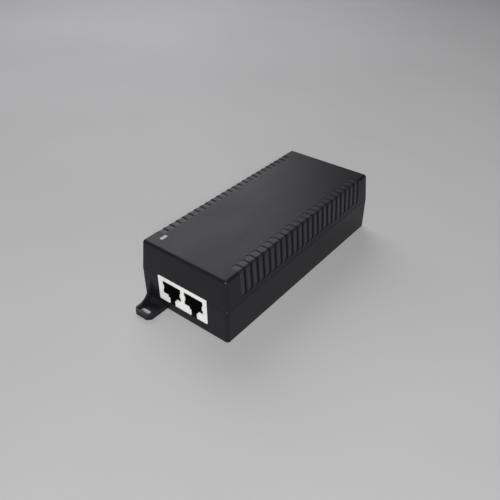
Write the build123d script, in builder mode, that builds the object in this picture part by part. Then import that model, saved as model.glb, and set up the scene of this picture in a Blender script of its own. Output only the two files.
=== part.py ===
from build123d import *
import os

# PoE injector: a two-shell plastic case with louvred sides and two screw ears, a dual RJ45 jack at the
# front, a mains inlet at the back and the power board between them. Millimetres, +Z up. The origin is
# under the middle of the case on the surface it stands on; the jacks face -Y and the inlet faces +Y.

os.makedirs("parts", exist_ok=True)

# Case
body_width = 54.4
body_length = 126.0
body_height = 34.5
parting_height = 18.8
top_inset = 1.3
edge_radius = 1.6
bottom_edge_radius = 0.6
parting_chamfer = 0.35
wall = 2.0
tongue_depth = 1.5
tongue_clearance = 0.1
tongue_inner = 3.0
front = -body_length / 2
back = body_length / 2

# Louvres on both long sides of the upper shell
louvre_bottom = 21.5
louvre_top_end = 20.6
louvre_depth = 0.5
louvre_top_depth = 0.25
louvre_gap = 0.4
louvre_land = 0.75
louvre_end_radius = 1.4
louvre_foot_radius = 0.3
louvre_overshoot = 0.02
right_louvre_count = 23
right_louvre_pitch = 4.58
right_louvre_start = front + 10.4
right_gap_end = 24.4
left_louvre_count = 24
left_louvre_pitch = 4.35
left_louvre_start = front + 11.1
left_gap_end = 21.7

# Screw ears: one at the front left corner, its mirror image at the back left corner
ear_left = -22.8
ear_right = -11.9
ear_tip = front - 12.15
ear_rim_height = 2.6
ear_floor = 1.0
ear_corner = 1.9
ear_web = 1.2
ear_web_top = 15.0
ear_web_reach = 8.2
ear_slot_length = 6.2
ear_slot_width = 3.2
ear_slot_center = (-18.4, front - 8.3)

# Case screws, circuit board and the sheet under it
screw_places = [(x, y) for x in (-21.6, 21.6) for y in (-46.0, 56.0)]
rest_places = [(-21.6, 4.0), (21.6, 0.0)]
boss_radius = 3.2
post_radius = 2.8
screw_radius = 1.4
screw_clearance = 0.05
screw_head_radius = 2.7
screw_head_height = 1.2
screw_seat = 1.4
screw_length = 12.0
board_bottom = 3.4
board_thickness = 1.6
board_top = board_bottom + board_thickness
board_width = 49.2
board_length = 121.2
sheet_bottom = 2.1
sheet_thickness = 0.4
lead_radius = 0.4
lead_tip = 2.7

# Rating label in a shallow recess of the bottom
label_width = 36.0
label_length = 72.0
label_thickness = 0.15
label_recess = 0.2

# Dual RJ45 jack
jack_x = -0.6
jack_width = 31.0
jack_bottom = board_top
jack_top = 19.4
jack_depth = 18.5
jack_corner_radius = 0.9
jack_gap = 0.15
port_pitch = 13.97
port_width = 12.0
port_bottom = 9.35
port_top = 17.1
port_roof = 18.2
bezel_depth = 0.6
peg_radius = 0.6
peg_length = 2.0
peg_gap = 0.05
port_depth = 13.0
latch_wide = 5.9
latch_wide_bottom = 8.0
latch_narrow = 3.9
latch_narrow_bottom = 6.2
rib_bottom = 11.9
rib_length = 2.2
rib_height = 0.55
rib_end = 8.0
carrier_thickness = 4.0
contact_size = 0.4
contact_pitch = 1.02
contact_count = 8

# Mains inlet with three flat pins
inlet_z = 17.25
inlet_face = back - 0.2
inlet_width = 28.6
inlet_height = 21.4
inlet_gap = 0.15
inlet_depth = 18.5
inlet_cavity_depth = 16.5
inlet_cavity_width = 24.4
inlet_cavity_height = 16.4
inlet_bevel = 4.6
flange_width = 31.5
flange_height = 24.0
flange_thickness = 1.6
flange_front = back - 3.0
pin_spacing = 14.0
pin_width = 2.0
pin_height = 4.0
pin_leg_y = back - 20.1
pin_leg_thickness = 0.8

# Light pipe over the status lamp
lamp_place = (-19.2, front + 9.1)
pipe_width = 1.9
pipe_length = 4.0
pipe_gap = 0.05
pipe_bottom = 7.0

# Places of the board's components, and their sizes along X, Y and Z
fuse_place = (-19.0, 48.0)
fuse_size = (4.2, 8.4, 8.5)
varistor_place = (19.0, 45.0)
varistor_radius = 5.5
varistor_thickness = 4.2
x_capacitor_place = (-12.0, 36.3)
x_capacitor_size = (18.0, 9.0, 15.0)
choke_place = (11.0, 35.0)
choke_radius = 9.0
choke_hole_radius = 4.8
choke_width = 7.0
winding_thickness = 1.0
bridge_place = (-11.5, 27.6)
bridge_size = (22.0, 3.5, 18.0)
bulk_place = (-7.0, 14.6)
bulk_radius = 9.0
bulk_length = 31.5
heatsink_thickness = 2.5
heatsink_x = 20.6
primary_heatsink_y = (4.0, 29.0)
secondary_heatsink_y = (-36.0, -10.0)
heatsink_height = 22.0
transistor_y = 17.0
rectifier_y = -23.0
package_size = (4.4, 10.0, 9.2)
tab_thickness = 1.3
tab_height = 6.3
package_bottom = 10.0
transformer_place = (-8.0, -8.2)
core_size = (26.0, 12.0, 22.0)
core_yoke = 4.0
core_leg = 3.5
core_middle_leg = 7.0
core_bottom = 6.0
bobbin_wall = 0.6
bobbin_flange = 1.0
bobbin_length = 23.6
bobbin_width = 18.4
y_capacitor_place = (12.0, -0.4)
y_capacitor_radius = 4.5
y_capacitor_thickness = 3.6
optocoupler_place = (11.5, -8.0)
controller_place = (11.5, 6.4)
output_capacitor_places = [(-17.5, -26.3), (-5.5, -26.3)]
output_capacitor_radius = 5.0
output_capacitor_height = 20.0
inductor_place = (7.2, -27.2)
inductor_radius = 5.5
inductor_hole_radius = 3.0
inductor_width = 5.0
pse_place = (11.4, -16.6)
lan_place = (0.0, -39.0)
lan_size = (15.1, 8.8, 5.8)

BASE = (Align.CENTER, Align.CENTER, Align.MIN)


def row(place, pitch, count, axis="x"):
    """Places of a straight row of leads centred on a component."""
    steps = [(i - (count - 1) / 2) * pitch for i in range(count)]
    if axis == "x":
        return [(place[0] + step, place[1]) for step in steps]
    return [(place[0], place[1] + step) for step in steps]


def beside(place, dx, dy):
    """A place shifted across the board."""
    return (place[0] + dx, place[1] + dy)


# Drilled places of every component with leads
lead_places = {
    "input_fuse": row(fuse_place, 5.08, 2, "y"),
    "varistor": row(varistor_place, 5.0, 2, "y"),
    "x_capacitor": row(x_capacitor_place, 15.0, 2),
    "choke": row(beside(choke_place, 0, -2.5), 12.0, 2) + row(beside(choke_place, 0, 2.5), 12.0, 2),
    "bridge_rectifier": row(bridge_place, 5.08, 4),
    "bulk_capacitor": row(beside(bulk_place, -bulk_length / 2 - 1.6, 0), 7.5, 2, "y"),
    "power_transistor": row((heatsink_x - 4.4, transistor_y), 2.54, 3, "y"),
    "output_rectifier": row((heatsink_x - 4.4, rectifier_y), 2.54, 3, "y"),
    "transformer_bobbin": row(beside(transformer_place, 0, -10.4), 3.6, 5)
    + row(beside(transformer_place, 0, 10.4), 3.6, 5),
    "y_capacitor": row(y_capacitor_place, 5.0, 2, "y"),
    "optocoupler": row(beside(optocoupler_place, 0, -3.81), 2.54, 2)
    + row(beside(optocoupler_place, 0, 3.81), 2.54, 2),
    "output_capacitors": [lead for place in output_capacitor_places for lead in row(place, 5.0, 2)],
    "output_inductor": row(inductor_place, 12.0, 2, "y"),
}


def add_leads(name, top):
    """Round leads of a component, from below the board up to a height."""
    with Locations(*[(x, y, lead_tip) for x, y in lead_places[name]]):
        Cylinder(lead_radius, top - lead_tip, align=BASE)


def lean_at(height):
    """How far the skin leans in at a height: nothing up to the parting line, then evenly."""
    return max(0.0, top_inset * (height - parting_height) / (body_height - parting_height))


def case_section(height, depth, radius=edge_radius):
    """Plan outline of the case at a height, drawn a depth inside its skin; radius 0 keeps it square."""
    shrink = 2 * (lean_at(height) + depth)
    with BuildSketch(Plane.XY.offset(height)) as section:
        Rectangle(body_width - shrink, body_length - shrink)
        if radius > 0:
            fillet(section.vertices(), radius)
    return section.sketch


def skin_profile(y, depth, top_depth):
    """Right half of the upper case's cross section at y, drawn inside its skin at the side and top."""
    low = parting_height
    inner = louvre_top_end - 6
    with BuildSketch(Plane.XZ.offset(-y)) as section:
        with BuildLine():
            Polyline(
                (inner, low),
                (body_width / 2 - depth, low),
                (body_width / 2 - top_inset - depth, body_height - top_depth),
                (inner, body_height - top_depth),
                close=True,
            )
        make_face()
        corner = section.vertices().group_by(Axis.Y)[-1].sort_by(Axis.X)[-1]
        fillet(corner, max(edge_radius - depth, 0.3))
    return section.sketch


def louvre_cutter(pitch, gap_top_end):
    """Space of one louvre from its flush edge at y = 0: a ramp, then a gap up to a distance from x = 0."""
    ramp = pitch - louvre_gap - louvre_land
    gap_end = pitch - louvre_land
    window_width = body_width / 2 + 2 - louvre_top_end
    window_height = body_height + 2 - louvre_bottom
    with BuildPart() as cutter:
        with Locations((louvre_top_end, 0, louvre_bottom)):
            Box(window_width, gap_end, window_height, align=(Align.MIN, Align.MIN, Align.MIN))
        low = cutter.edges().filter_by(Axis.X).group_by(Axis.Z)[0]
        fillet(low, louvre_foot_radius)
        upright = cutter.edges().filter_by(Axis.Z).group_by(Axis.X)[0]
        fillet(upright, louvre_end_radius)
        flush = skin_profile(0, -louvre_overshoot, -louvre_overshoot)
        loft([flush, skin_profile(ramp, louvre_depth, louvre_top_depth)], mode=Mode.SUBTRACT)
        through = wall + 0.3
        extrude(skin_profile(ramp, through, through), amount=-louvre_gap, mode=Mode.SUBTRACT)
        with Locations((0, ramp, 0)):
            Box(
                gap_top_end,
                louvre_gap,
                body_height - louvre_top_depth,
                align=(Align.MIN, Align.MIN, Align.MIN),
                mode=Mode.SUBTRACT,
            )
    return cutter.part


# Upper shell: leaning walls, rounded top edge, tongue into the lower shell, screw posts and louvres
right_cutter = louvre_cutter(right_louvre_pitch, right_gap_end)
left_cutter = louvre_cutter(left_louvre_pitch, left_gap_end).mirror(Plane.YZ)
post_height = body_height - wall - board_top

with BuildPart() as upper_shell:
    loft([case_section(parting_height, 0, 0), case_section(body_height, 0, 0)])
    top_edges = upper_shell.faces().sort_by(Axis.Z)[-1].edges()
    corners = upper_shell.edges().filter_by(lambda edge: edge.bounding_box().size.Z > wall)
    fillet(top_edges + corners, edge_radius)
    loft(
        [case_section(parting_height, wall, 0.8), case_section(body_height - wall, wall, 0.8)],
        mode=Mode.SUBTRACT,
    )
    with BuildSketch(Plane.XY.offset(parting_height)):
        add(case_section(0, wall - 0.5, 0.8))
        add(case_section(0, tongue_inner, 0.6), mode=Mode.SUBTRACT)
    extrude(amount=1.2)
    with BuildSketch(Plane.XY.offset(parting_height)):
        add(case_section(0, wall + tongue_clearance, 0.8))
        add(case_section(0, tongue_inner, 0.6), mode=Mode.SUBTRACT)
    extrude(amount=-tongue_depth)
    with Locations(*[(x, y, board_top) for x, y in screw_places]):
        Cylinder(post_radius, post_height + 0.5, align=BASE)
        Cylinder(screw_radius + screw_clearance, screw_length, align=BASE, mode=Mode.SUBTRACT)
    with BuildSketch(Plane.XZ.offset(-front + 1)):
        with Locations((jack_x, jack_top + jack_gap)):
            Rectangle(jack_width + 2 * jack_gap, 6, align=(Align.CENTER, Align.MAX))
    extrude(amount=-(1 + tongue_inner + 0.5), mode=Mode.SUBTRACT)
    with BuildSketch(Plane.XZ.offset(-back - 1)):
        with Locations((0, inlet_z)):
            RectangleRounded(inlet_width + 2 * inlet_gap, inlet_height + 2 * inlet_gap, 1.0)
    extrude(amount=wall + 2.5, mode=Mode.SUBTRACT)
    with Locations((0, back - tongue_inner, parting_height - tongue_depth)):
        Box(flange_width + 0.6, 2, 3.2, align=(Align.CENTER, Align.CENTER, Align.MIN), mode=Mode.SUBTRACT)
    with Locations((*lamp_place, body_height)):
        Box(pipe_width, pipe_length, 3 * wall, mode=Mode.SUBTRACT)
    right_places = [(0, right_louvre_start + i * right_louvre_pitch) for i in range(right_louvre_count)]
    with Locations(*right_places):
        add(right_cutter, mode=Mode.SUBTRACT)
    left_places = [(0, left_louvre_start + i * left_louvre_pitch) for i in range(left_louvre_count)]
    with Locations(*left_places):
        add(left_cutter, mode=Mode.SUBTRACT)

upper_shell.part.label = "upper_shell"
export_step(upper_shell.part, "parts/upper_shell.step")


# One screw ear at the front left: a dished plate with a slot and a swept web along its outer side
with BuildPart() as ear:
    with BuildSketch():
        with BuildLine():
            Polyline(
                (ear_left, front + wall / 2),
                (ear_left, ear_tip + ear_corner),
                (ear_left + ear_corner, ear_tip),
                (ear_right - ear_corner, ear_tip),
                (ear_right, ear_tip + ear_corner),
                (ear_right, front + wall / 2),
                close=True,
            )
        make_face()
    extrude(amount=ear_rim_height)
    with BuildSketch(Plane.XY.offset(ear_floor)):
        with BuildLine():
            Polyline(
                (ear_left + ear_web, front - 1.8),
                (ear_left + ear_web, ear_tip + 2.0),
                (ear_right - 3.2, ear_tip + 2.0),
                (ear_right - 3.2, front - 1.8),
                close=True,
            )
        make_face()
    with BuildSketch(Plane.XY.offset(ear_rim_height)):
        with BuildLine():
            Polyline(
                (ear_left + ear_web, front),
                (ear_left + ear_web, ear_tip + 1.5),
                (ear_right - 1.8, ear_tip + 1.5),
                (ear_right - 1.8, front),
                close=True,
            )
        make_face()
    loft(mode=Mode.SUBTRACT)
    with BuildSketch(Plane.YZ.offset(ear_left)):
        with BuildLine():
            sweep_arc = EllipticalCenterArc(
                (front - ear_web_reach, ear_web_top),
                ear_web_reach,
                ear_web_top - ear_rim_height,
                start_angle=270,
                arc_size=90,
            )
            Polyline(
                sweep_arc @ 1,
                (front + wall / 2, ear_web_top),
                (front + wall / 2, 0),
                (front - ear_web_reach, 0),
                sweep_arc @ 0,
            )
        make_face()
    extrude(amount=ear_web)
    with BuildSketch():
        with Locations(ear_slot_center):
            SlotOverall(ear_slot_length, ear_slot_width)
    extrude(amount=ear_rim_height, mode=Mode.SUBTRACT)

# Lower shell: the tray that carries the board, with the ears, bosses and openings for jack and inlet
with BuildPart() as lower_shell:
    add(case_section(0, 0))
    extrude(amount=parting_height)
    fillet(lower_shell.faces().sort_by(Axis.Z)[0].edges(), bottom_edge_radius)
    chamfer(lower_shell.faces().sort_by(Axis.Z)[-1].edges(), parting_chamfer)
    with BuildSketch(Plane.XY.offset(wall)):
        add(case_section(0, wall, 0.8))
    extrude(amount=parting_height, mode=Mode.SUBTRACT)
    add(ear.part)
    add(ear.part.mirror(Plane.XZ))
    with Locations(*[(x, y, wall - 0.5) for x, y in screw_places + rest_places]):
        Cylinder(boss_radius, board_bottom - wall + 0.5, align=BASE)
    with Locations(*[(x, y, 0) for x, y in screw_places]):
        Cylinder(screw_head_radius + 0.2, screw_seat, align=BASE, mode=Mode.SUBTRACT)
        Cylinder(screw_radius + screw_clearance, board_bottom, align=BASE, mode=Mode.SUBTRACT)
    with BuildSketch(Plane.XZ.offset(-front + 1)):
        with Locations((jack_x, jack_bottom - jack_gap)):
            Rectangle(jack_width + 2 * jack_gap, parting_height, align=(Align.CENTER, Align.MIN))
    extrude(amount=-(wall + 2), mode=Mode.SUBTRACT)
    with BuildSketch(Plane.XZ.offset(-back - 1)):
        with Locations((0, inlet_z)):
            RectangleRounded(inlet_width + 2 * inlet_gap, inlet_height + 2 * inlet_gap, 1.0)
    extrude(amount=wall + 2, mode=Mode.SUBTRACT)
    with BuildSketch():
        RectangleRounded(label_width + 0.6, label_length + 0.6, 1.5)
    extrude(amount=label_recess, mode=Mode.SUBTRACT)

lower_shell.part.label = "lower_shell"
export_step(lower_shell.part, "parts/lower_shell.step")


# Four pan-head screws that close the case from below
with BuildPart() as case_screws:
    with Locations(*[(x, y, screw_seat - screw_head_height) for x, y in screw_places]):
        Cylinder(screw_head_radius, screw_head_height, align=BASE)
    fillet(case_screws.edges().group_by(Axis.Z)[0], 0.4)
    with Locations(*[(x, y, screw_seat) for x, y in screw_places]):
        Cylinder(screw_radius, screw_length, align=BASE)
    with Locations(*[(x, y, screw_seat - screw_head_height) for x, y in screw_places]):
        Box(0.7, 3.2, 0.7, align=BASE, mode=Mode.SUBTRACT)
        Box(3.2, 0.7, 0.7, align=BASE, mode=Mode.SUBTRACT)

case_screws.part.label = "case_screws"
export_step(case_screws.part, "parts/case_screws.step")


# Blank rating label
with BuildPart() as rating_label:
    with BuildSketch(Plane.XY.offset(label_recess)):
        RectangleRounded(label_width, label_length, 1.2)
    extrude(amount=-label_thickness)

rating_label.part.label = "rating_label"
export_step(rating_label.part, "parts/rating_label.step")


# Insulating sheet under the board, notched clear of the bosses
with BuildPart() as insulating_sheet:
    with BuildSketch(Plane.XY.offset(sheet_bottom)):
        Rectangle(board_width, board_length - 3)
        with Locations(*(screw_places + rest_places)):
            Rectangle(2 * boss_radius + 1.2, 2 * boss_radius + 1.2, mode=Mode.SUBTRACT)
    extrude(amount=sheet_thickness)

insulating_sheet.part.label = "insulating_sheet"
export_step(insulating_sheet.part, "parts/insulating_sheet.step")


# Main board with its screw holes and drilled leads
pin_leg_places = [(x, pin_leg_y) for x in (-pin_spacing / 2, 0, pin_spacing / 2)]
port_centers = {"data_port": jack_x - port_pitch / 2, "power_port": jack_x + port_pitch / 2}
tail_y = front + port_depth + carrier_thickness + 0.6
tail_places = []
for x in port_centers.values():
    tail_places += row((x, tail_y), contact_pitch, contact_count)

with BuildPart() as main_board:
    with BuildSketch(Plane.XY.offset(board_bottom)):
        RectangleRounded(board_width, board_length, 1.0)
        with Locations(*screw_places):
            Circle(screw_radius + 0.3, mode=Mode.SUBTRACT)
        for places in lead_places.values():
            with Locations(*places):
                Circle(lead_radius + 0.1, mode=Mode.SUBTRACT)
        with Locations(*pin_leg_places):
            Rectangle(pin_width + 0.2, pin_leg_thickness + 0.2, mode=Mode.SUBTRACT)
        with Locations(*tail_places):
            Rectangle(contact_size + 0.2, contact_size + 0.2, mode=Mode.SUBTRACT)
    extrude(amount=board_thickness)

main_board.part.label = "main_board"
export_step(main_board.part, "parts/main_board.step")


# Jack: a white bezel at the front, pegged to a black housing that is open behind for the carriers
jack_middle_z = (jack_bottom + jack_top) / 2
peg_places = [(jack_x + x, jack_bottom + z) for x in (-14.25, 14.25) for z in (2.6, 11.8)]


def jack_block(start, end):
    """Slab of the jack's outline between two distances behind its face."""
    with BuildSketch(Plane.XZ.offset(-front - start)) as outline:
        with Locations((jack_x, jack_middle_z)):
            RectangleRounded(jack_width, jack_top - jack_bottom, jack_corner_radius)
    extrude(outline.sketch, amount=start - end)


def cut_channel(x, width, bottom, top, start, end):
    """A straight-sided channel of a port between two distances behind the jack's face."""
    with BuildSketch(Plane.XY.offset(bottom)) as channel:
        with Locations((x, front + start)):
            Rectangle(width, end - start, align=(Align.CENTER, Align.MIN))
    extrude(channel.sketch, amount=top - bottom, mode=Mode.SUBTRACT)


def cut_plug_space(x, start, end):
    """The space of a plug and its latch between two distances behind the jack's face."""
    cut_channel(x, port_width, port_bottom, port_top, start, end)
    cut_channel(x, latch_wide, latch_wide_bottom, port_top, start, end)
    cut_channel(x, latch_narrow, latch_narrow_bottom, port_top, start, end)


def add_guide_ribs(x, start, end):
    """Ribs on both side walls of a port between two distances behind the jack's face."""
    for side in (-1, 1):
        with Locations((x + side * (port_width - rib_height) / 2, front + start, rib_bottom)):
            Box(rib_height, end - start, rib_length, align=(Align.CENTER, Align.MIN, Align.MIN))


with BuildPart() as jack_bezel:
    jack_block(0, bezel_depth)
    for x in port_centers.values():
        cut_plug_space(x, 0, bezel_depth)
        cut_channel(x, latch_narrow, jack_bottom, port_bottom, 0, bezel_depth)
        add_guide_ribs(x, 0, bezel_depth)
    with BuildSketch(Plane.XZ.offset(-front - bezel_depth)):
        with Locations(*peg_places):
            Circle(peg_radius)
    extrude(amount=-peg_length)

jack_bezel.part.label = "jack_bezel"
export_step(jack_bezel.part, "parts/jack_bezel.step")

with BuildPart() as jack_housing:
    jack_block(bezel_depth, jack_depth)
    for x in port_centers.values():
        cut_plug_space(x, bezel_depth, port_depth)
        cut_channel(x, port_width, port_bottom, port_roof, bezel_depth, jack_depth)
        cut_channel(x, port_width, jack_bottom, port_roof, port_depth, jack_depth)
        add_guide_ribs(x, bezel_depth, rib_end)
    with BuildSketch(Plane.XZ.offset(-front - bezel_depth)):
        with Locations(*peg_places):
            Circle(peg_radius + peg_gap)
    extrude(amount=-peg_length - 0.2, mode=Mode.SUBTRACT)

jack_housing.part.label = "jack_housing"
export_step(jack_housing.part, "parts/jack_housing.step")


# For each port, a carrier behind the plug space and eight spring contacts that pass over it
for port, x in port_centers.items():
    carrier_front = front + port_depth
    with BuildPart() as carrier:
        with Locations((x, carrier_front, board_top)):
            Box(
                port_width - 0.1,
                carrier_thickness,
                port_top - board_top,
                align=(Align.CENTER, Align.MIN, Align.MIN),
            )
        chamfer(carrier.edges().filter_by(Axis.X).group_by(Axis.Z)[-1].sort_by(Axis.Y)[0], 0.8)
    carrier.part.label = f"{port}_carrier"
    export_step(carrier.part, f"parts/{port}_carrier.step")

    wire_z = port_top + 0.5
    with BuildPart() as contacts:
        for contact_x, contact_y in row((x, tail_y), contact_pitch, contact_count):
            with BuildSketch(Plane.YZ.offset(contact_x - contact_size / 2)):
                with BuildLine():
                    Polyline(
                        (contact_y, lead_tip),
                        (contact_y, wire_z),
                        (front + bezel_depth + 2.6, wire_z),
                        (front + bezel_depth + 2.1, wire_z - 0.7),
                        (carrier_front - 1.6, port_bottom + 3.4),
                    )
                trace(line_width=contact_size)
            extrude(amount=contact_size)
    contacts.part.label = f"{port}_contacts"
    export_step(contacts.part, f"parts/{port}_contacts.step")


# Mains inlet: a beveled socket with a flange that the two shells trap
def inlet_outline(width, height, bevel):
    """Rectangle around the inlet's axis with its two upper corners cut off."""
    with BuildSketch() as outline:
        with Locations((0, inlet_z)):
            Rectangle(width, height)
        chamfer(outline.vertices().group_by(Axis.Y)[-1], bevel)
    return outline.sketch


with BuildPart() as inlet_housing:
    with BuildSketch(Plane.XZ.offset(-inlet_face)):
        with Locations((0, inlet_z)):
            RectangleRounded(inlet_width, inlet_height, 0.9)
    extrude(amount=inlet_face - flange_front + 1)
    with BuildSketch(Plane.XZ.offset(-flange_front)):
        with Locations((0, inlet_z)):
            RectangleRounded(flange_width, flange_height, 1.0)
    extrude(amount=flange_thickness)
    with BuildSketch(Plane.XZ.offset(-inlet_face)):
        add(inlet_outline(inlet_cavity_width + 2.8, inlet_cavity_height + 2.8, inlet_bevel))
    extrude(amount=inlet_depth)
    with BuildSketch(Plane.XZ.offset(-inlet_face)):
        add(inlet_outline(inlet_cavity_width, inlet_cavity_height, inlet_bevel))
    extrude(amount=inlet_cavity_depth, mode=Mode.SUBTRACT)
    with BuildSketch(Plane.XZ.offset(-inlet_face)):
        for x, z in ((-pin_spacing / 2, inlet_z - 2), (0, inlet_z + 2), (pin_spacing / 2, inlet_z - 2)):
            with Locations((x, z)):
                Rectangle(pin_width, pin_height)
    extrude(amount=inlet_depth, mode=Mode.SUBTRACT)

inlet_housing.part.label = "inlet_housing"
export_step(inlet_housing.part, "parts/inlet_housing.step")

# The three pins run back through the housing and turn down into the board; earth stands out furthest
for name, x, z, tip in (
    ("line_pin", pin_spacing / 2, inlet_z - 2, inlet_face - 3.5),
    ("neutral_pin", -pin_spacing / 2, inlet_z - 2, inlet_face - 3.5),
    ("earth_pin", 0, inlet_z + 2, inlet_face - 1.5),
):
    with BuildPart() as pin:
        with Locations((x, tip, z)):
            Box(pin_width, tip - pin_leg_y, pin_height, align=(Align.CENTER, Align.MAX, Align.CENTER))
        chamfer(pin.faces().sort_by(Axis.Y)[-1].edges(), 0.5)
        with Locations((x, pin_leg_y, lead_tip)):
            Box(pin_width, pin_leg_thickness, z + pin_height / 2 - lead_tip, align=BASE)
    pin.part.label = name
    export_step(pin.part, f"parts/{name}.step")


# Light pipe: a flush window in the top, a collar under it and a stem down to the lamp
with BuildPart() as light_pipe:
    with Locations((*lamp_place, body_height)):
        Box(
            pipe_width - 2 * pipe_gap,
            pipe_length - 2 * pipe_gap,
            body_height - pipe_bottom,
            align=(Align.CENTER, Align.CENTER, Align.MAX),
        )
    with Locations((*lamp_place, body_height - wall)):
        Box(pipe_width + 1.2, pipe_length + 1.2, 1.0, align=(Align.CENTER, Align.CENTER, Align.MAX))

light_pipe.part.label = "light_pipe"
export_step(light_pipe.part, "parts/light_pipe.step")

with BuildPart() as status_lamp:
    with Locations((*lamp_place, board_top)):
        Box(2.0, 3.2, 0.7, align=BASE)
    with Locations((*lamp_place, board_top + 0.7)):
        Box(1.5, 2.2, 0.6, align=BASE)

status_lamp.part.label = "status_lamp"
export_step(status_lamp.part, "parts/status_lamp.step")


# Mains side of the board
with BuildPart() as input_fuse:
    with Locations((*fuse_place, board_top + 0.4)):
        Box(*fuse_size, align=BASE)
    fillet(input_fuse.edges().filter_by(Axis.Z), 0.5)
    add_leads("input_fuse", board_top + 1)

input_fuse.part.label = "input_fuse"
export_step(input_fuse.part, "parts/input_fuse.step")

with BuildPart() as varistor:
    with BuildSketch(Plane.YZ.offset(varistor_place[0] - varistor_thickness / 2)):
        with Locations((varistor_place[1], board_top + 2 + varistor_radius)):
            Circle(varistor_radius)
    extrude(amount=varistor_thickness)
    fillet(varistor.edges(), 1.4)
    add_leads("varistor", board_top + 3.5)

varistor.part.label = "varistor"
export_step(varistor.part, "parts/varistor.step")

with BuildPart() as x_capacitor:
    with Locations((*x_capacitor_place, board_top + 0.2)):
        Box(*x_capacitor_size, align=BASE)
    fillet(x_capacitor.edges().filter_by(Axis.Z), 0.6)
    add_leads("x_capacitor", board_top + 1)

x_capacitor.part.label = "x_capacitor"
export_step(x_capacitor.part, "parts/x_capacitor.step")

# Common-mode choke: a ring core standing on edge, with a coil on each side
choke_z = board_top + choke_radius + winding_thickness + 0.6
choke_plane = Plane.XZ.offset(-choke_place[1])
with BuildPart() as choke_core:
    with BuildSketch(choke_plane):
        with Locations((choke_place[0], choke_z)):
            Circle(choke_radius)
            Circle(choke_hole_radius, mode=Mode.SUBTRACT)
    extrude(amount=choke_width / 2, both=True)

choke_core.part.label = "choke_core"
export_step(choke_core.part, "parts/choke_core.step")

with BuildPart() as choke_windings:
    with BuildSketch(choke_plane):
        with Locations((choke_place[0], choke_z)):
            Circle(choke_radius + winding_thickness)
            Circle(choke_hole_radius - winding_thickness, mode=Mode.SUBTRACT)
            Rectangle(choke_radius * 0.5, 4 * choke_radius, mode=Mode.SUBTRACT)
    extrude(amount=choke_width / 2 + winding_thickness, both=True)
    add(choke_core.part, mode=Mode.SUBTRACT)
    add_leads("choke", choke_z - 2)
    add(choke_core.part, mode=Mode.SUBTRACT)

choke_windings.part.label = "choke_windings"
export_step(choke_windings.part, "parts/choke_windings.step")

with BuildPart() as bridge_rectifier:
    with Locations((*bridge_place, board_top + 3)):
        Box(*bridge_size, align=BASE)
    chamfer(bridge_rectifier.edges().filter_by(Axis.Y).group_by(Axis.Z)[-1].sort_by(Axis.X)[0], 2.5)
    add_leads("bridge_rectifier", board_top + 4)

bridge_rectifier.part.label = "bridge_rectifier"
export_step(bridge_rectifier.part, "parts/bridge_rectifier.step")

# Bulk capacitor lying along X, its leads turned down at one end
bulk_z = board_top + bulk_radius + 0.3
with BuildPart() as bulk_capacitor:
    with BuildSketch(Plane.YZ.offset(bulk_place[0] - bulk_length / 2)):
        with Locations((bulk_place[1], bulk_z)):
            Circle(bulk_radius)
    extrude(amount=bulk_length)
    fillet(bulk_capacitor.edges(), 1.0)
    for x, y in lead_places["bulk_capacitor"]:
        with Locations((x, y, bulk_z)):
            Box(2.4, 2 * lead_radius, 2 * lead_radius, align=(Align.MIN, Align.CENTER, Align.CENTER))
    add_leads("bulk_capacitor", bulk_z + lead_radius)

bulk_capacitor.part.label = "bulk_capacitor"
export_step(bulk_capacitor.part, "parts/bulk_capacitor.step")


# Heat-sunk packages: a plate on the board, a flat package with its metal tab, and one screw
tab_hole_z = package_bottom + package_size[2] + 3.6
package_x = heatsink_x - heatsink_thickness / 2

for name, y_range, package_y in (
    ("primary_heatsink", primary_heatsink_y, transistor_y),
    ("secondary_heatsink", secondary_heatsink_y, rectifier_y),
):
    length = y_range[1] - y_range[0]
    middle = (y_range[0] + y_range[1]) / 2
    with BuildPart() as heatsink:
        with Locations((heatsink_x, middle, board_top)):
            Box(heatsink_thickness, length, heatsink_height, align=BASE)
        with Locations((heatsink_x - 1.4, middle, board_top + heatsink_height - 1.2)):
            Box(heatsink_thickness + 2.8, length, 1.2, align=BASE)
        with BuildSketch(Plane.YZ.offset(package_x)):
            with Locations((package_y, tab_hole_z)):
                Circle(1.5)
        extrude(amount=heatsink_thickness, mode=Mode.SUBTRACT)
    heatsink.part.label = name
    export_step(heatsink.part, f"parts/{name}.step")

for name, package_y in (("power_transistor", transistor_y), ("output_rectifier", rectifier_y)):
    with BuildPart() as package:
        with Locations((package_x, package_y, package_bottom)):
            Box(*package_size, align=(Align.MAX, Align.CENTER, Align.MIN))
        with Locations((package_x, package_y, package_bottom)):
            Box(
                tab_thickness,
                package_size[1],
                package_size[2] + tab_height,
                align=(Align.MAX, Align.CENTER, Align.MIN),
            )
        with BuildSketch(Plane.YZ.offset(package_x - tab_thickness)):
            with Locations((package_y, tab_hole_z)):
                Circle(1.5)
        extrude(amount=tab_thickness, mode=Mode.SUBTRACT)
        add_leads(name, package_bottom + 1)
    package.part.label = name
    export_step(package.part, f"parts/{name}.step")

with BuildPart() as heatsink_screws:
    for package_y in (transistor_y, rectifier_y):
        with BuildSketch(Plane.YZ.offset(package_x - tab_thickness - 1.8)):
            with Locations((package_y, tab_hole_z)):
                Circle(2.6)
        extrude(amount=1.8)
        with BuildSketch(Plane.YZ.offset(package_x - tab_thickness)):
            with Locations((package_y, tab_hole_z)):
                Circle(1.4)
        extrude(amount=tab_thickness + heatsink_thickness)

heatsink_screws.part.label = "heatsink_screws"
export_step(heatsink_screws.part, "parts/heatsink_screws.step")


# Transformer: a two-window ferrite core, a bobbin round its middle leg and the winding on it
core_middle_z = core_bottom + core_size[2] / 2
window_height = core_size[2] - 2 * core_yoke
window_width = (core_size[0] - core_middle_leg) / 2 - core_leg
window_offset = core_middle_leg / 2 + window_width / 2
tx, ty = transformer_place

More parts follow.
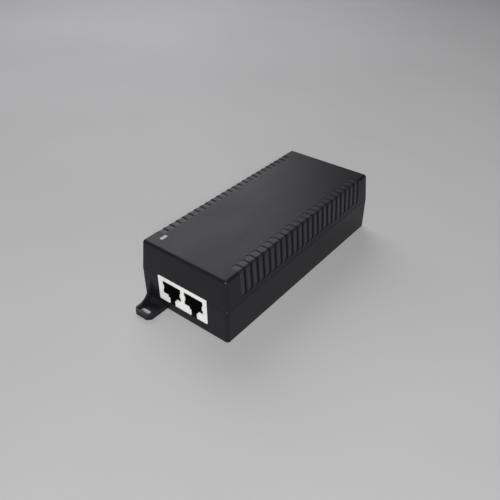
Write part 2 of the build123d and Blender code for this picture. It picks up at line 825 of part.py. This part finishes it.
with BuildPart() as transformer_core:
    with Locations((tx, ty, core_bottom)):
        Box(*core_size, align=BASE)
    with Locations((tx - window_offset, ty, core_middle_z), (tx + window_offset, ty, core_middle_z)):
        Box(window_width, core_size[1], window_height, mode=Mode.SUBTRACT)

transformer_core.part.label = "transformer_core"
export_step(transformer_core.part, "parts/transformer_core.step")

tube_width = core_middle_leg + 2 * bobbin_wall + 0.2
tube_length = core_size[1] + 2 * bobbin_wall + 0.2
spool_height = window_height - 0.4
with BuildPart() as transformer_bobbin:
    with Locations((tx, ty, core_middle_z)):
        Box(tube_width, tube_length, spool_height)
    for end in (-1, 1):
        with Locations((tx, ty, core_middle_z + end * (spool_height - bobbin_flange) / 2)):
            Box(bobbin_width, bobbin_length, bobbin_flange)
    for end in (-1, 1):
        rail_top = core_middle_z - spool_height / 2 + bobbin_flange
        with Locations((tx, ty + end * (bobbin_length / 2 - 1.5), board_top + 0.4)):
            Box(bobbin_width, 3, rail_top - board_top - 0.4, align=BASE)
    with Locations((tx, ty, core_middle_z)):
        Box(core_middle_leg + 0.2, core_size[1] + 0.2, core_size[2], mode=Mode.SUBTRACT)
    add_leads("transformer_bobbin", board_top + 1)

transformer_bobbin.part.label = "transformer_bobbin"
export_step(transformer_bobbin.part, "parts/transformer_bobbin.step")

with BuildPart() as transformer_winding:
    with BuildSketch(Plane.XY.offset(core_middle_z - spool_height / 2 + bobbin_flange)):
        with Locations((tx, ty)):
            RectangleRounded(bobbin_width - 0.8, bobbin_length - 1.2, 3.5)
            Rectangle(tube_width, tube_length, mode=Mode.SUBTRACT)
    extrude(amount=spool_height - 2 * bobbin_flange)

transformer_winding.part.label = "transformer_winding"
export_step(transformer_winding.part, "parts/transformer_winding.step")


# Parts across and near the isolation gap
with BuildPart() as y_capacitor:
    with BuildSketch(Plane.YZ.offset(y_capacitor_place[0] - y_capacitor_thickness / 2)):
        with Locations((y_capacitor_place[1], board_top + 2 + y_capacitor_radius)):
            Circle(y_capacitor_radius)
    extrude(amount=y_capacitor_thickness)
    fillet(y_capacitor.edges(), 1.2)
    add_leads("y_capacitor", board_top + 4)

y_capacitor.part.label = "y_capacitor"
export_step(y_capacitor.part, "parts/y_capacitor.step")

with BuildPart() as optocoupler:
    with Locations((*optocoupler_place, board_top + 0.4)):
        Box(4.6, 6.5, 3.4, align=BASE)
    for x, y in lead_places["optocoupler"]:
        with Locations((x, (y + optocoupler_place[1]) / 2, board_top + 1.7)):
            Box(0.6, abs(y - optocoupler_place[1]) + 2 * lead_radius, 0.3, align=BASE)
    add_leads("optocoupler", board_top + 2)

optocoupler.part.label = "optocoupler"
export_step(optocoupler.part, "parts/optocoupler.step")


def flat_chip(place, size, pin_pitch, pin_count):
    """A moulded chip on two rows of flat feet that stand on the board."""
    with Locations((*place, board_top + 0.15)):
        Box(*size, align=BASE)
    feet = row(beside(place, -size[0] / 2, 0), pin_pitch, pin_count, "y")
    feet += row(beside(place, size[0] / 2, 0), pin_pitch, pin_count, "y")
    with Locations(*[(x, y, board_top) for x, y in feet]):
        Box(2.0, pin_pitch * 0.35, size[2] / 2, align=BASE)


with BuildPart() as power_controller:
    flat_chip(controller_place, (3.9, 4.9, 1.5), 1.27, 4)

power_controller.part.label = "power_controller"
export_step(power_controller.part, "parts/power_controller.step")

with BuildPart() as pse_controller:
    flat_chip(pse_place, (5.3, 7.2, 1.8), 0.65, 10)

pse_controller.part.label = "pse_controller"
export_step(pse_controller.part, "parts/pse_controller.step")

# Ethernet isolation transformers in one flat moulding behind the jack
with BuildPart() as lan_transformer:
    with Locations((*lan_place, board_top + 0.2)):
        Box(*lan_size, align=BASE)
    feet = row(beside(lan_place, 0, -lan_size[1] / 2), 1.02, 12)
    feet += row(beside(lan_place, 0, lan_size[1] / 2), 1.02, 12)
    with Locations(*[(x, y, board_top) for x, y in feet]):
        Box(0.4, 1.0, 1.5, align=BASE)

lan_transformer.part.label = "lan_transformer"
export_step(lan_transformer.part, "parts/lan_transformer.step")


# Output side: smoothing capacitors, and a flat ring inductor with its winding
with BuildPart() as output_capacitors:
    with Locations(*[(x, y, board_top + 0.3) for x, y in output_capacitor_places]):
        Cylinder(output_capacitor_radius, output_capacitor_height, align=BASE)
    fillet(output_capacitors.edges(), 0.6)
    add_leads("output_capacitors", board_top + 1)

output_capacitors.part.label = "output_capacitors"
export_step(output_capacitors.part, "parts/output_capacitors.step")

inductor_z = board_top + 0.4 + winding_thickness
with BuildPart() as inductor_core:
    with BuildSketch(Plane.XY.offset(inductor_z)):
        with Locations(inductor_place):
            Circle(inductor_radius)
            Circle(inductor_hole_radius, mode=Mode.SUBTRACT)
    extrude(amount=inductor_width)

inductor_core.part.label = "inductor_core"
export_step(inductor_core.part, "parts/inductor_core.step")

with BuildPart() as inductor_winding:
    with BuildSketch(Plane.XY.offset(inductor_z - winding_thickness)):
        with Locations(inductor_place):
            Circle(inductor_radius + winding_thickness)
            Circle(inductor_hole_radius - winding_thickness, mode=Mode.SUBTRACT)
    extrude(amount=inductor_width + 2 * winding_thickness)
    add_leads("output_inductor", inductor_z + 1)
    add(inductor_core.part, mode=Mode.SUBTRACT)

inductor_winding.part.label = "inductor_winding"
export_step(inductor_winding.part, "parts/inductor_winding.step")

# Chip resistors beside the two controllers and the LAN transformer
chip_places = row((11.5, 10.5), 2.6, 4) + row((20.4, -4.4), 2.6, 2, "y") + row((-14.0, -36.5), 2.6, 4)
with BuildPart() as chip_resistors:
    with Locations(*[(x, y, board_top) for x, y in chip_places]):
        Box(1.25, 2.0, 0.6, align=BASE)

chip_resistors.part.label = "chip_resistors"
export_step(chip_resistors.part, "parts/chip_resistors.step")
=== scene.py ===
import math

import bmesh
import bpy
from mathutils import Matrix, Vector


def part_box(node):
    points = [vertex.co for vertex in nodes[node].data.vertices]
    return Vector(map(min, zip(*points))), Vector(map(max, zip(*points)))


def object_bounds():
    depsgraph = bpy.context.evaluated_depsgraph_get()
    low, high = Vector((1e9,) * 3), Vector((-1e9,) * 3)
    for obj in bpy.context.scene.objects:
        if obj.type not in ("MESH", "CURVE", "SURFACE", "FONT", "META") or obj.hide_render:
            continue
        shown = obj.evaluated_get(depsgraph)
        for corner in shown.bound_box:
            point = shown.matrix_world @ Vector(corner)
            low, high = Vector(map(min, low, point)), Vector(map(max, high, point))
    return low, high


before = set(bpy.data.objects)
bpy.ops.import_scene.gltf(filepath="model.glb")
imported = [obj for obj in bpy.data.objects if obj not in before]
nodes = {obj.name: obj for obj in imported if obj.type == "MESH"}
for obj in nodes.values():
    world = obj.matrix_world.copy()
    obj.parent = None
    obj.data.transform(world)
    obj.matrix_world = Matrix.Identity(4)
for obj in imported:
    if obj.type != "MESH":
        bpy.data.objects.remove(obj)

cad_low, cad_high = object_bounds()
MM = 0.001
case_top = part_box("upper_shell")[1][2]


# ---- Node helpers ---------------------------------------------------------------------------------
# The louvre faces: how far along Y they reach from the middle, and the Y part of their normals, which
# sets them off from the flats on one side and from the rounded back edge on the other.
LOUVRE_REACH = 56.0 * MM
LOUVRE_TURN = (0.04, 0.06)
BACK_EDGE_TURN = (0.30, 0.25)


class Shader:
    """A new material with short ways to add nodes and link them."""

    def __init__(self, name):
        self.material = bpy.data.materials.new(name)
        self.material.use_nodes = True
        self.tree = self.material.node_tree
        self.surface = self.tree.nodes["Principled BSDF"]
        self.place = self.add("ShaderNodeTexCoord").outputs["Object"]

    def add(self, kind, **settings):
        node = self.tree.nodes.new(kind)
        for key, value in settings.items():
            setattr(node, key, value)
        return node

    def link(self, source, target):
        self.tree.links.new(source, target)
        return target

    def noise(self, scale, detail=2.0, roughness=0.5, stretch=None):
        """Noise over the object's own metres; scale is in features per metre."""
        node = self.add("ShaderNodeTexNoise")
        node.inputs["Scale"].default_value = scale
        node.inputs["Detail"].default_value = detail
        node.inputs["Roughness"].default_value = roughness
        source = self.place
        if stretch:
            mapping = self.add("ShaderNodeMapping")
            mapping.inputs["Scale"].default_value = stretch
            self.link(source, mapping.inputs["Vector"])
            source = mapping.outputs["Vector"]
        self.link(source, node.inputs["Vector"])
        return node.outputs["Fac"]

    def grains(self, scale):
        """Distance to the nearest of many scattered points: the moulded grain of textured plastic."""
        node = self.add("ShaderNodeTexVoronoi")
        node.inputs["Scale"].default_value = scale
        self.link(self.place, node.inputs["Vector"])
        return node.outputs["Distance"]

    def ramp(self, source, low, high, start=0.0, end=1.0):
        """Maps a value between two limits, clamped."""
        node = self.add("ShaderNodeMapRange")
        node.inputs["From Min"].default_value = low
        node.inputs["From Max"].default_value = high
        node.inputs["To Min"].default_value = start
        node.inputs["To Max"].default_value = end
        self.link(source, node.inputs["Value"])
        return node.outputs["Result"]

    def math(self, operation, a, b):
        """One operation on two values, each a number or a socket."""
        node = self.add("ShaderNodeMath", operation=operation)
        for socket, value in zip(node.inputs, (a, b)):
            if isinstance(value, (int, float)):
                socket.default_value = value
            else:
                self.link(value, socket)
        return node.outputs["Value"]

    def blend(self, factor, first, second):
        """Mixes two colours, each an RGB tuple or a colour socket."""
        node = self.add("ShaderNodeMix", data_type="RGBA")
        self.link(factor, node.inputs["Factor"])
        colours = [s for s in node.inputs if s.type == "RGBA"]
        for socket, value in zip(colours, (first, second)):
            if isinstance(value, tuple):
                socket.default_value = (*value, 1.0)
            else:
                self.link(value, socket)
        return [s for s in node.outputs if s.type == "RGBA"][0]

    def edges(self, radius):
        """1 on a sharp outer edge, 0 on a flat: how far a rounded normal turns from the true one."""
        soft = self.add("ShaderNodeBevel", samples=6)
        soft.inputs["Radius"].default_value = radius
        true = self.add("ShaderNodeNewGeometry")
        dot = self.add("ShaderNodeVectorMath", operation="DOT_PRODUCT")
        self.link(soft.outputs["Normal"], dot.inputs[0])
        self.link(true.outputs["Normal"], dot.inputs[1])
        return self.ramp(dot.outputs["Value"], 0.995, 0.8)

    def louvre_ramps(self):
        """1 on the faces of the louvres, which turn a little towards +Y, and 0 elsewhere."""
        true = self.add("ShaderNodeNewGeometry")
        turn = self.add("ShaderNodeSeparateXYZ")
        self.link(true.outputs["True Normal"], turn.inputs["Vector"])
        place = self.add("ShaderNodeSeparateXYZ")
        self.link(self.place, place.inputs["Vector"])
        turned = self.ramp(turn.outputs["Y"], *LOUVRE_TURN)
        not_back = self.ramp(turn.outputs["Y"], *BACK_EDGE_TURN)
        from_middle = self.math("ABSOLUTE", place.outputs["Y"], 0.0)
        within_row = self.ramp(from_middle, LOUVRE_REACH + MM, LOUVRE_REACH)
        return self.math("MULTIPLY", self.math("MULTIPLY", turned, not_back), within_row)

    def bump(self, height, distance, strength=1.0, normal=None):
        node = self.add("ShaderNodeBump")
        node.inputs["Distance"].default_value = distance
        node.inputs["Strength"].default_value = strength
        self.link(height, node.inputs["Height"])
        if normal is not None:
            self.link(normal, node.inputs["Normal"])
        return node.outputs["Normal"]

    def rounded(self, radius):
        node = self.add("ShaderNodeBevel", samples=6)
        node.inputs["Radius"].default_value = radius
        return node.outputs["Normal"]

    def put(self, **values):
        """Sets or links the shader's own inputs, written with underscores for spaces."""
        for key, value in values.items():
            socket = self.surface.inputs[key.replace("_", " ")]
            if isinstance(value, bpy.types.NodeSocket):
                self.link(value, socket)
            elif isinstance(value, tuple):
                socket.default_value = (*value, 1.0)
            else:
                socket.default_value = value
        return self.material


# ---- Materials ------------------------------------------------------------------------------------
def case_plastic():
    """Dark grey moulded plastic: fine spark texture, flow marks, rubbed edges, and louvre ramps with a higher
    specular level and a painted highlight that colours them paler.
    """
    s = Shader("case_plastic_textured")
    clouds = s.noise(45, 3.0)
    flow = s.noise(90, 4.0, stretch=(1.0, 0.25, 1.0))
    base = s.blend(s.ramp(clouds, 0.3, 0.7), (0.0084, 0.0080, 0.0106), (0.0100, 0.0096, 0.0124))
    rubbed = s.math("MULTIPLY", s.edges(0.35 * MM), s.ramp(flow, 0.35, 0.65, 0.1, 0.45))
    colour = s.blend(rubbed, base, (0.026, 0.026, 0.029))
    grain = s.math("ADD", s.grains(3200), s.math("MULTIPLY", s.noise(1800, 2.0), 0.6))
    ramp_highlight_and_gloss = s.louvre_ramps()
    # Painted highlight: the louvre ramps, which tilt towards the light, get a paler colour than the flats.
    colour = s.blend(ramp_highlight_and_gloss, colour, (0.0200, 0.0200, 0.0245))
    rough = s.ramp(flow, 0.3, 0.7, 0.37, 0.43)
    shine = s.ramp(ramp_highlight_and_gloss, 0.0, 1.0, 0.20, 0.29)
    return s.put(
        Base_Color=colour,
        Roughness=rough,
        Specular_IOR_Level=shine,
        Normal=s.bump(grain, 0.02 * MM, 0.4, s.rounded(0.25 * MM)),
    )


def smooth_plastic(name, base, shade, roughness, orange_peel=0.01, shine=0.5):
    """Smooth moulded plastic with a slight cloudiness and a trace of orange peel."""
    s = Shader(name)
    colour = s.blend(s.ramp(s.noise(140, 3.0), 0.35, 0.7), base, shade)
    rough = s.ramp(s.noise(400, 3.0), 0.3, 0.7, roughness - 0.05, roughness + 0.06)
    return s.put(
        Base_Color=colour,
        Roughness=rough,
        Specular_IOR_Level=shine,
        Normal=s.bump(s.noise(900, 2.0), orange_peel * MM, 0.5, s.rounded(0.18 * MM)),
    )


def metal(name, base, shade, roughness, brushed=(1.0, 1.0, 1.0)):
    """Plated or bare metal with fine directional marks."""
    s = Shader(name)
    marks = s.noise(1400, 3.0, stretch=brushed)
    colour = s.blend(s.ramp(s.noise(250, 3.0), 0.3, 0.7), base, shade)
    return s.put(
        Base_Color=colour,
        Metallic=1.0,
        Roughness=s.ramp(marks, 0.3, 0.7, roughness - 0.07, roughness + 0.09),
        Normal=s.bump(marks, 0.01 * MM, 0.4, s.rounded(0.1 * MM)),
    )


def light_guide():
    """Frosted clear acrylic, brighter where more light comes up through it."""
    s = Shader("light_guide_frosted")
    spread = s.ramp(s.noise(350, 2.0), 0.3, 0.7)
    colour = s.blend(spread, (0.33, 0.33, 0.34), (0.46, 0.46, 0.47))
    return s.put(
        Base_Color=colour,
        Roughness=0.28,
        Transmission_Weight=0.15,
        Normal=s.bump(s.noise(2500, 2.0), 0.01 * MM, 0.4, s.rounded(0.15 * MM)),
    )


def board_green():
    """Solder mask with copper tracks that show faintly through it."""
    s = Shader("board_solder_mask")
    tracks = s.add("ShaderNodeTexBrick")
    tracks.inputs["Scale"].default_value = 260
    s.link(s.place, tracks.inputs["Vector"])
    colour = s.blend(tracks.outputs["Fac"], (0.012, 0.085, 0.030), (0.022, 0.150, 0.050))
    return s.put(
        Base_Color=colour,
        Roughness=s.ramp(s.noise(300, 2.0), 0.3, 0.7, 0.25, 0.38),
        Normal=s.bump(tracks.outputs["Fac"], 0.03 * MM, 0.4),
    )


def copper_winding(name, axis_scale):
    """Enamelled wire laid turn by turn: bands across the coil."""
    s = Shader(name)
    turns = s.add("ShaderNodeTexWave", wave_type="BANDS", bands_direction="DIAGONAL")
    turns.inputs["Scale"].default_value = axis_scale
    turns.inputs["Distortion"].default_value = 0.4
    s.link(s.place, turns.inputs["Vector"])
    colour = s.blend(turns.outputs["Fac"], (0.23, 0.075, 0.025), (0.62, 0.26, 0.11))
    return s.put(
        Base_Color=colour,
        Metallic=0.85,
        Roughness=0.32,
        Normal=s.bump(turns.outputs["Fac"], 0.25 * MM, 0.8),
    )


def label_film():
    """Matt silver film with a fine fibre; it carries no print."""
    s = Shader("label_film_blank")
    fibre = s.noise(1500, 4.0, stretch=(1.0, 0.15, 1.0))
    colour = s.blend(s.ramp(fibre, 0.3, 0.7), (0.36, 0.37, 0.385), (0.44, 0.45, 0.465))
    return s.put(
        Base_Color=colour,
        Metallic=0.35,
        Roughness=s.ramp(fibre, 0.3, 0.7, 0.38, 0.5),
        Normal=s.bump(fibre, 0.01 * MM, 0.5),
    )


def dress(material, *names):
    """Gives CAD nodes a material in place of their packed one."""
    for name in names:
        slots = nodes[name].data.materials
        slots.clear()
        slots.append(material)


def dress_all():
    dress(case_plastic(), "upper_shell", "lower_shell")
    dress(smooth_plastic("jack_plastic_white", (0.80, 0.80, 0.78), (0.72, 0.72, 0.70), 0.36), "jack_bezel")
    for name, *pieces in (
        ("jack_plastic_black", "jack_housing"),
        ("carrier_plastic_black", "data_port_carrier", "power_port_carrier"),
    ):
        dress(smooth_plastic(name, (0.003, 0.003, 0.003), (0.002, 0.002, 0.002), 0.5, shine=0.1), *pieces)
    dress(
        smooth_plastic("inlet_plastic_black", (0.016, 0.016, 0.017), (0.022, 0.022, 0.023), 0.38),
        "inlet_housing",
    )
    dress(
        metal("contact_gold_wire", (0.83, 0.60, 0.25), (0.72, 0.50, 0.20), 0.25, (1, 0.2, 0.2)),
        "data_port_contacts",
        "power_port_contacts",
    )
    dress(
        metal("pin_nickel", (0.70, 0.69, 0.66), (0.60, 0.59, 0.56), 0.22, (1, 0.15, 1)),
        "line_pin",
        "neutral_pin",
        "earth_pin",
    )
    dress(
        metal("screw_zinc", (0.50, 0.50, 0.52), (0.40, 0.40, 0.42), 0.32),
        "case_screws",
        "heatsink_screws",
    )
    dress(light_guide(), "light_pipe")
    dress(smooth_plastic("lamp_epoxy", (0.55, 0.60, 0.48), (0.50, 0.55, 0.42), 0.2), "status_lamp")
    dress(label_film(), "rating_label")
    dress(smooth_plastic("sheet_translucent", (0.55, 0.56, 0.53), (0.5, 0.51, 0.48), 0.3), "insulating_sheet")
    dress(board_green(), "main_board")
    dress(
        metal("heatsink_aluminium", (0.62, 0.63, 0.65), (0.52, 0.53, 0.55), 0.35, (0.1, 1, 1)),
        "primary_heatsink",
        "secondary_heatsink",
    )
    dress(smooth_plastic("fuse_black", (0.03, 0.03, 0.03), (0.02, 0.02, 0.02), 0.35), "input_fuse")
    dress(smooth_plastic("varistor_blue", (0.02, 0.06, 0.26), (0.015, 0.045, 0.2), 0.3), "varistor")
    dress(smooth_plastic("capacitor_box_yellow", (0.60, 0.38, 0.03), (0.5, 0.3, 0.02), 0.3), "x_capacitor")
    dress(
        smooth_plastic("ferrite_grey", (0.05, 0.05, 0.055), (0.035, 0.035, 0.04), 0.6, 0.04),
        "choke_core",
        "transformer_core",
        "inductor_core",
    )
    dress(copper_winding("choke_copper", 320), "choke_windings")
    dress(copper_winding("inductor_copper", 380), "inductor_winding")
    dress(
        smooth_plastic("chip_epoxy_black", (0.018, 0.018, 0.02), (0.026, 0.026, 0.028), 0.55, 0.03),
        "bridge_rectifier",
        "power_transistor",
        "output_rectifier",
        "optocoupler",
        "power_controller",
        "pse_controller",
        "lan_transformer",
        "chip_resistors",
    )
    dress(
        smooth_plastic("capacitor_sleeve_dark", (0.012, 0.016, 0.05), (0.009, 0.012, 0.04), 0.22),
        "bulk_capacitor",
        "output_capacitors",
    )
    dress(smooth_plastic("bobbin_black", (0.02, 0.02, 0.02), (0.03, 0.03, 0.03), 0.45), "transformer_bobbin")
    dress(
        smooth_plastic("winding_tape_yellow", (0.55, 0.40, 0.05), (0.45, 0.32, 0.04), 0.25),
        "transformer_winding",
    )
    dress(smooth_plastic("ceramic_disc_blue", (0.03, 0.11, 0.30), (0.02, 0.09, 0.25), 0.3), "y_capacitor")


# ---- Stage, light and camera ----------------------------------------------------------------------
FLOOR_REACH = 3.0


def make_floor():
    """A wide pale floor that the case stands on."""
    mesh = bpy.data.meshes.new("floor")
    shape = bmesh.new()
    corners = [
        (-FLOOR_REACH, -FLOOR_REACH),
        (FLOOR_REACH, -FLOOR_REACH),
        (FLOOR_REACH, FLOOR_REACH),
        (-FLOOR_REACH, FLOOR_REACH),
    ]
    shape.faces.new([shape.verts.new((x, y, cad_low[2])) for x, y in corners])
    shape.to_mesh(mesh)
    shape.free()
    floor = bpy.data.objects.new("floor", mesh)
    bpy.context.scene.collection.objects.link(floor)
    s = Shader("floor_pale")
    pale = s.blend(s.ramp(s.noise(6, 3.0), 0.3, 0.7), (0.44, 0.44, 0.436), (0.47, 0.47, 0.466))
    s.put(Base_Color=pale, Roughness=0.75)
    mesh.materials.append(s.material)


def area_light(name, place, target, size, power, colour=(1, 1, 1)):
    """A soft rectangular light that faces a target."""
    data = bpy.data.lights.new(name, "AREA")
    data.shape = "RECTANGLE"
    data.size, data.size_y = size
    data.energy = power
    data.color = colour
    light = bpy.data.objects.new(name, data)
    light.location = place
    light.rotation_euler = (Vector(target) - Vector(place)).to_track_quat("-Z", "Y").to_euler()
    bpy.context.scene.collection.objects.link(light)


def make_lights():
    """A softbox whose reflection lies on the top, a key light by the camera and a dim sky."""
    middle = (0, 0, case_top / 2)
    area_light(
        "overhead_softbox",
        place=(-0.60, 0.42, 0.65),
        target=middle,
        size=(0.72, 0.72),
        power=4.3,
        colour=(0.96, 0.96, 1.0),
    )
    area_light("key", place=(0.60, -0.77, 0.71), target=middle, size=(0.3, 0.3), power=16.0)
    world = bpy.data.worlds.new("studio")
    bpy.context.scene.world = world
    world.use_nodes = True
    sky = world.node_tree.nodes["Background"].inputs
    sky["Color"].default_value = (0.92, 0.93, 1.0, 1)
    sky["Strength"].default_value = 0.09
    bpy.context.scene.view_settings.view_transform = "Standard"


CAMERA_AZIMUTH = math.radians(38.248)
CAMERA_ELEVATION = math.radians(35.83)
CAMERA_DISTANCE = 291.794 * MM
CAMERA_TARGET = Vector((-2.487, -9.291, 9.275)) * MM
CAMERA_LENS = 39.187


def make_camera():
    """The view from the front right and above, aimed a little in front of the case's middle."""
    across = math.cos(CAMERA_ELEVATION)
    away = Vector(
        (
            math.sin(CAMERA_AZIMUTH) * across,
            -math.cos(CAMERA_AZIMUTH) * across,
            math.sin(CAMERA_ELEVATION),
        )
    )
    data = bpy.data.cameras.new("camera")
    data.sensor_width = 36.0
    data.lens = CAMERA_LENS
    data.clip_start = 0.01
    camera = bpy.data.objects.new("camera", data)
    camera.location = CAMERA_TARGET + away * CAMERA_DISTANCE
    camera.rotation_euler = (-away).to_track_quat("-Z", "Y").to_euler()
    bpy.context.scene.collection.objects.link(camera)
    bpy.context.scene.camera = camera


dress_all()
make_floor()
make_lights()
make_camera()
